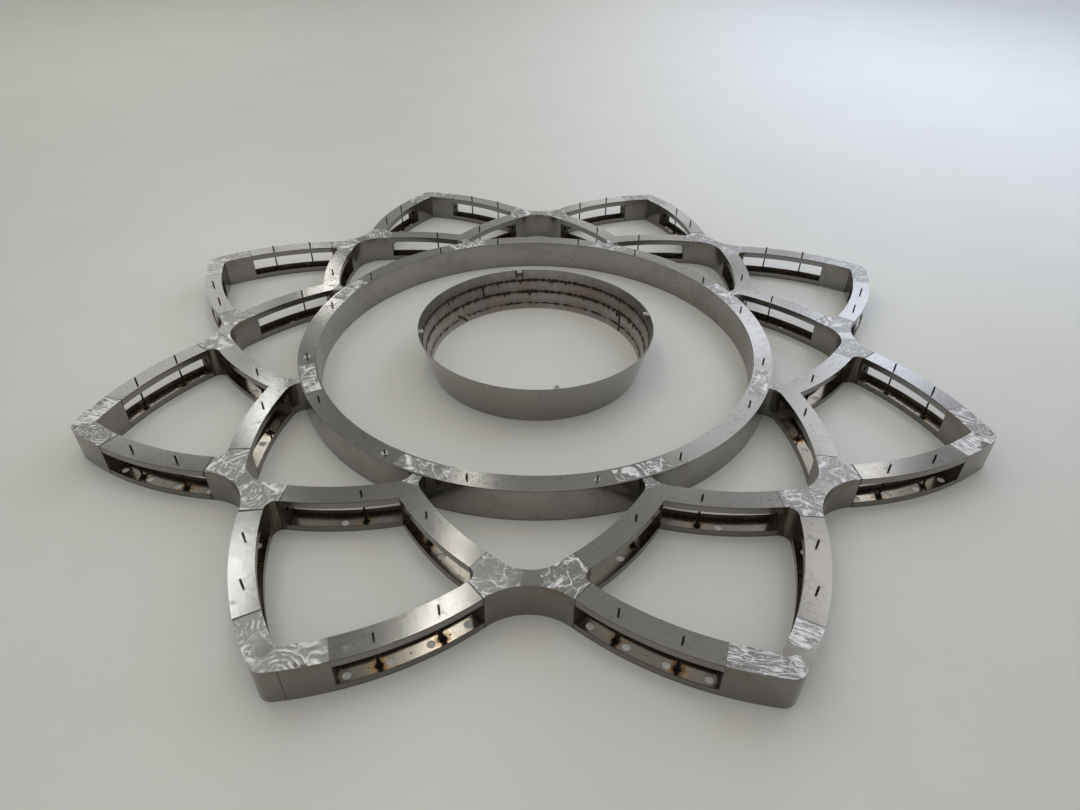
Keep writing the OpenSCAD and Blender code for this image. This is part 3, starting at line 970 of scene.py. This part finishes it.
def show(name, mesh, finish, body):
    """Turns a bmesh into a smooth piece that rides on a body."""
    data = bpy.data.meshes.new(name)
    mesh.to_mesh(data)
    mesh.free()
    for face in data.polygons:
        face.use_smooth = True
    data.materials.append(finish)
    piece = bpy.data.objects.new(name, data)
    bpy.context.collection.objects.link(piece)
    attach(piece, body)
    print(name, "has", len(data.polygons), "faces")


# %% Soot on the beads
def soot_finish():
    finish = Finish("sooty_welds", Metallic=0.5)
    rag = finish.noise(finish.place(), 60.0, 3.0, 0.6)
    colour = finish.mix(rag.ramp(0.4, 0.7), (0.020, 0.014, 0.010, 1), (0.15, 0.085, 0.050, 1))
    finish.set(Base_Color=colour, Roughness=rag * 0.3 + 0.4)
    return finish.material


sooty_welds = soot_finish()
print("sooty welds have", len(sooty_welds.node_tree.nodes), "nodes")

# %% Tacks in the arms
TACK = (0.024, 0.010, 0.0052)


def arm_tacks(mesh, turn, mirror, centre, start, first, last):
    """Tacks along both inside corners of one arm's bottom plate, a little out of step."""
    count = int((last - first - 0.06) / TACK_PITCH)
    for aside in (-1, 1):
        for i in range(count):
            length = first + TACK_START + i * TACK_PITCH + (i % 3 - 1) * 0.004
            offset = aside * (ARM_HALF - SHEET - 0.003)
            here = on_arm(centre, start, length, offset)
            there = on_arm(centre, start, length + 0.01, offset)
            place = Vector((mirror * here[0], here[1], SHEET + 0.0024))
            ahead = Vector((mirror * (there[0] - here[0]), there[1] - here[1], 0))
            bead(mesh, turn @ place, turn.to_3x3() @ ahead, TACK)


tacks = bmesh.new()
for petal in range(PETALS):
    turn = Matrix.Rotation(STEP * (petal + 0.5) - math.pi / 2, 4, "Z")
    for mirror in (-1, 1):
        arm_tacks(tacks, turn, mirror, OUTER_CENTRE, OUTER_START, TIP_SEAM, OUTER_SEAM)
        arm_tacks(tacks, turn, mirror, INNER_CENTRE, INNER_START, NECK_TOUCH, INNER_SEAM)
show("arm_tack_welds", tacks, sooty_welds, "flower_frame")

# %% Stitches in the drum
STITCH = (0.034, 0.012, 0.0026)
STITCH_PITCHES = (0.041, 0.041, 0.062)

stitches = bmesh.new()
for height, pitch in zip(DRUM_ROWS, STITCH_PITCHES):
    radius = DRUM_FOOT + DRUM_SLOPE * height - 0.0038
    count = int(2 * math.pi * radius / pitch)
    for i in range(count):
        sweep = 2 * math.pi * i / count
        out = Vector((math.cos(sweep), math.sin(sweep), 0))
        inward = (-out + Vector((0, 0, DRUM_SLOPE))).normalized()
        place = out * radius + Vector((0, 0, height + 0.003 * math.sin(i * 2.4)))
        bead(stitches, place, Vector((-out.y, out.x, 0)), STITCH, inward)
show("drum_stitch_welds", stitches, sooty_welds, "drum")

# %% [markdown]
# ## Floor
#
# The floor is plain and pale. It could be one flat colour, but a slow noise keeps it from
# looking like paper, and a little gloss lets the lamps fade over it softly. It isn't part of
# the object, and it lies a millimetre low, so that no bottom plate shares its plane.

# %% Floor
FLOOR_HALF = 40.0

floor_mesh = bmesh.new()
bmesh.ops.create_grid(floor_mesh, x_segments=1, y_segments=1, size=FLOOR_HALF)
floor_data = bpy.data.meshes.new("pale_floor")
floor_mesh.to_mesh(floor_data)
floor_mesh.free()
floor = bpy.data.objects.new("pale_floor", floor_data)
floor.location.z = -0.001
bpy.context.collection.objects.link(floor)
pale = Finish("pale_floor", Roughness=0.32)
veins = pale.noise(pale.place(), 0.8, 4.0, 0.6)
pale.set(Base_Color=pale.mix(veins, (0.654, 0.640, 0.594, 1), (0.733, 0.720, 0.673, 1)))
floor_data.materials.append(pale.material)
print("floor is", 2 * FLOOR_HALF, "m wide")

# %% [markdown]
# ## Lamps
#
# Steel shows mostly what it reflects, so a lamp's place matters more than its power. One big
# soft lamp would light the flower, but every plate would be equally bright. Here narrow strips
# under a roof run away from the camera and draw bright streaks along the plates that mirror
# them, while dim panels to the right lift whole plates a little. A lamp's brightness is given
# for each square metre, so that changing its size doesn't change how bright its image is.

# %% Lamps
ROOF = 6.0
WARM, SKY = (1.0, 0.995, 0.91), (0.92, 0.98, 1.08)


def strip(name, x, y, turn, width, length, brightness, colour, height=ROOF):
    """A long soft lamp under the roof, which faces down."""
    lamp = bpy.data.lights.new(name, "AREA")
    lamp.shape = "RECTANGLE"
    lamp.size = width
    lamp.size_y = length
    lamp.color = colour
    lamp.energy = brightness * width * length * math.pi
    piece = bpy.data.objects.new(name, lamp)
    piece.location = (x, y, height)
    piece.rotation_euler.z = math.radians(turn)
    piece.visible_camera = False
    bpy.context.collection.objects.link(piece)
    return piece


# %% Strips above the middle and the left
# Each has its place, its turn in degrees, its width and length, its brightness and its colour.
strip("middle_near_strip", -1.34, -1.7, 0, 0.38, 8.6, 4.5, WARM)
strip("middle_strip", -1.24, 4.1, 0, 0.20, 2.8, 3.2, WARM)
strip("middle_end", -1.22, 3.38, 0, 0.26, 0.45, 3.8, WARM)
strip("left_strip", -4.41, 1.1, 8, 0.34, 5.0, 4.8, (0.955, 0.99, 0.975))
strip("left_middle_strip", -5.35, 6.48, 8, 0.60, 2.0, 3.0, (0.975, 0.99, 0.96))
strip("left_far_strip", -5.44, 11.75, 0, 0.72, 1.4, 5.8, (1.0, 1.0, 0.94))
strip("left_panel", -8.7, 11.2, 0, 4.2, 11.2, 0.58, (1.0, 0.985, 0.95))
print("lamps so far:", len(bpy.data.lights))

# %% Panels to the right
# The last one is daylight on the floor, hidden from reflections so that no plate mirrors it.
strip("right_low_panel", 4.7, 1.6, 0, 1.8, 4.2, 0.66, (1.0, 0.995, 0.98))
strip("right_near_panel", 5.7, 4.9, 0, 0.9, 1.1, 2.0, (1.0, 0.99, 0.97))
strip("right_panel", 5.7, 6.4, 0, 2.2, 2.2, 0.72, (0.97, 0.99, 1.02))
strip("right_window", 5.0, 9.9, 0, 1.3, 2.9, 1.30, SKY)
strip("right_back_panel", 6.1, 8.8, 0, 0.9, 2.6, 0.62, SKY)
strip("right_far_window", 8.0, 10.2, 0, 2.8, 5.6, 1.26, (0.86, 0.96, 1.14))
strip("right_inner_panel", 3.4, 8.0, 0, 2.0, 6.0, 0.46, (0.98, 0.99, 1.01))
strip("right_far_panel", 5.0, 18.2, 0, 8.0, 5.6, 0.34, SKY)
daylight = strip("floor_daylight", 7.5, 10.0, 0, 9.0, 18.0, 0.86, (0.80, 0.95, 1.28), ROOF - 0.1)
daylight.visible_glossy = False
print("lamps in all:", len(bpy.data.lights))

# %% [markdown]
# ## Surroundings
#
# Between the lamps the tops mirror a dim roof, and the walls mirror what stands round the
# flower: darker towards the camera, brighter and bluer to the right at the back. An image of a
# room would do this, but a few ramps over the direction are enough and stay the same for every
# view. They show only in reflections. Where a ray isn't a reflection, the surroundings are one
# even soft light.

# %% Surroundings
PLAIN_LIGHT = 0.53

world = bpy.data.worlds.new("hall")
world.use_nodes = True
bpy.context.scene.world = world
hall = Nodes(world.node_tree)
right, ahead, height = hall.parts(hall.node("ShaderNodeTexCoord", output="Generated"))
mirrored = hall.node("ShaderNodeLightPath", output="Is Glossy Ray")

back = ahead.ramp(-0.3, 0.6)
sideways = right.ramp(-0.30, 0.25)
horizon = back * (0.42 + sideways * 0.44) + (1 - back) * 0.24
roof = sideways * 0.11 + 0.174
seen = horizon + height.ramp(0.34, 0.42) * (roof - horizon)
strength = mirrored * (seen - PLAIN_LIGHT) + PLAIN_LIGHT

tint = hall.mix(right.ramp(-0.25, 0.45), (1.0, 0.995, 0.890, 1), (1.0, 0.970, 0.950, 1))
bluish = height.ramp(0.34, 0.28) * back * right.ramp(0.05, 0.35)
tint = hall.mix(bluish, tint, (0.92, 1.08, 1.36, 1))
tint = hall.mix(mirrored, (1.0, 1.0, 0.98, 1), tint)

background = world.node_tree.nodes["Background"]
plug(world.node_tree, strength, background.inputs["Strength"])
plug(world.node_tree, tint, background.inputs["Color"])
print("nodes in the surroundings:", len(world.node_tree.nodes))
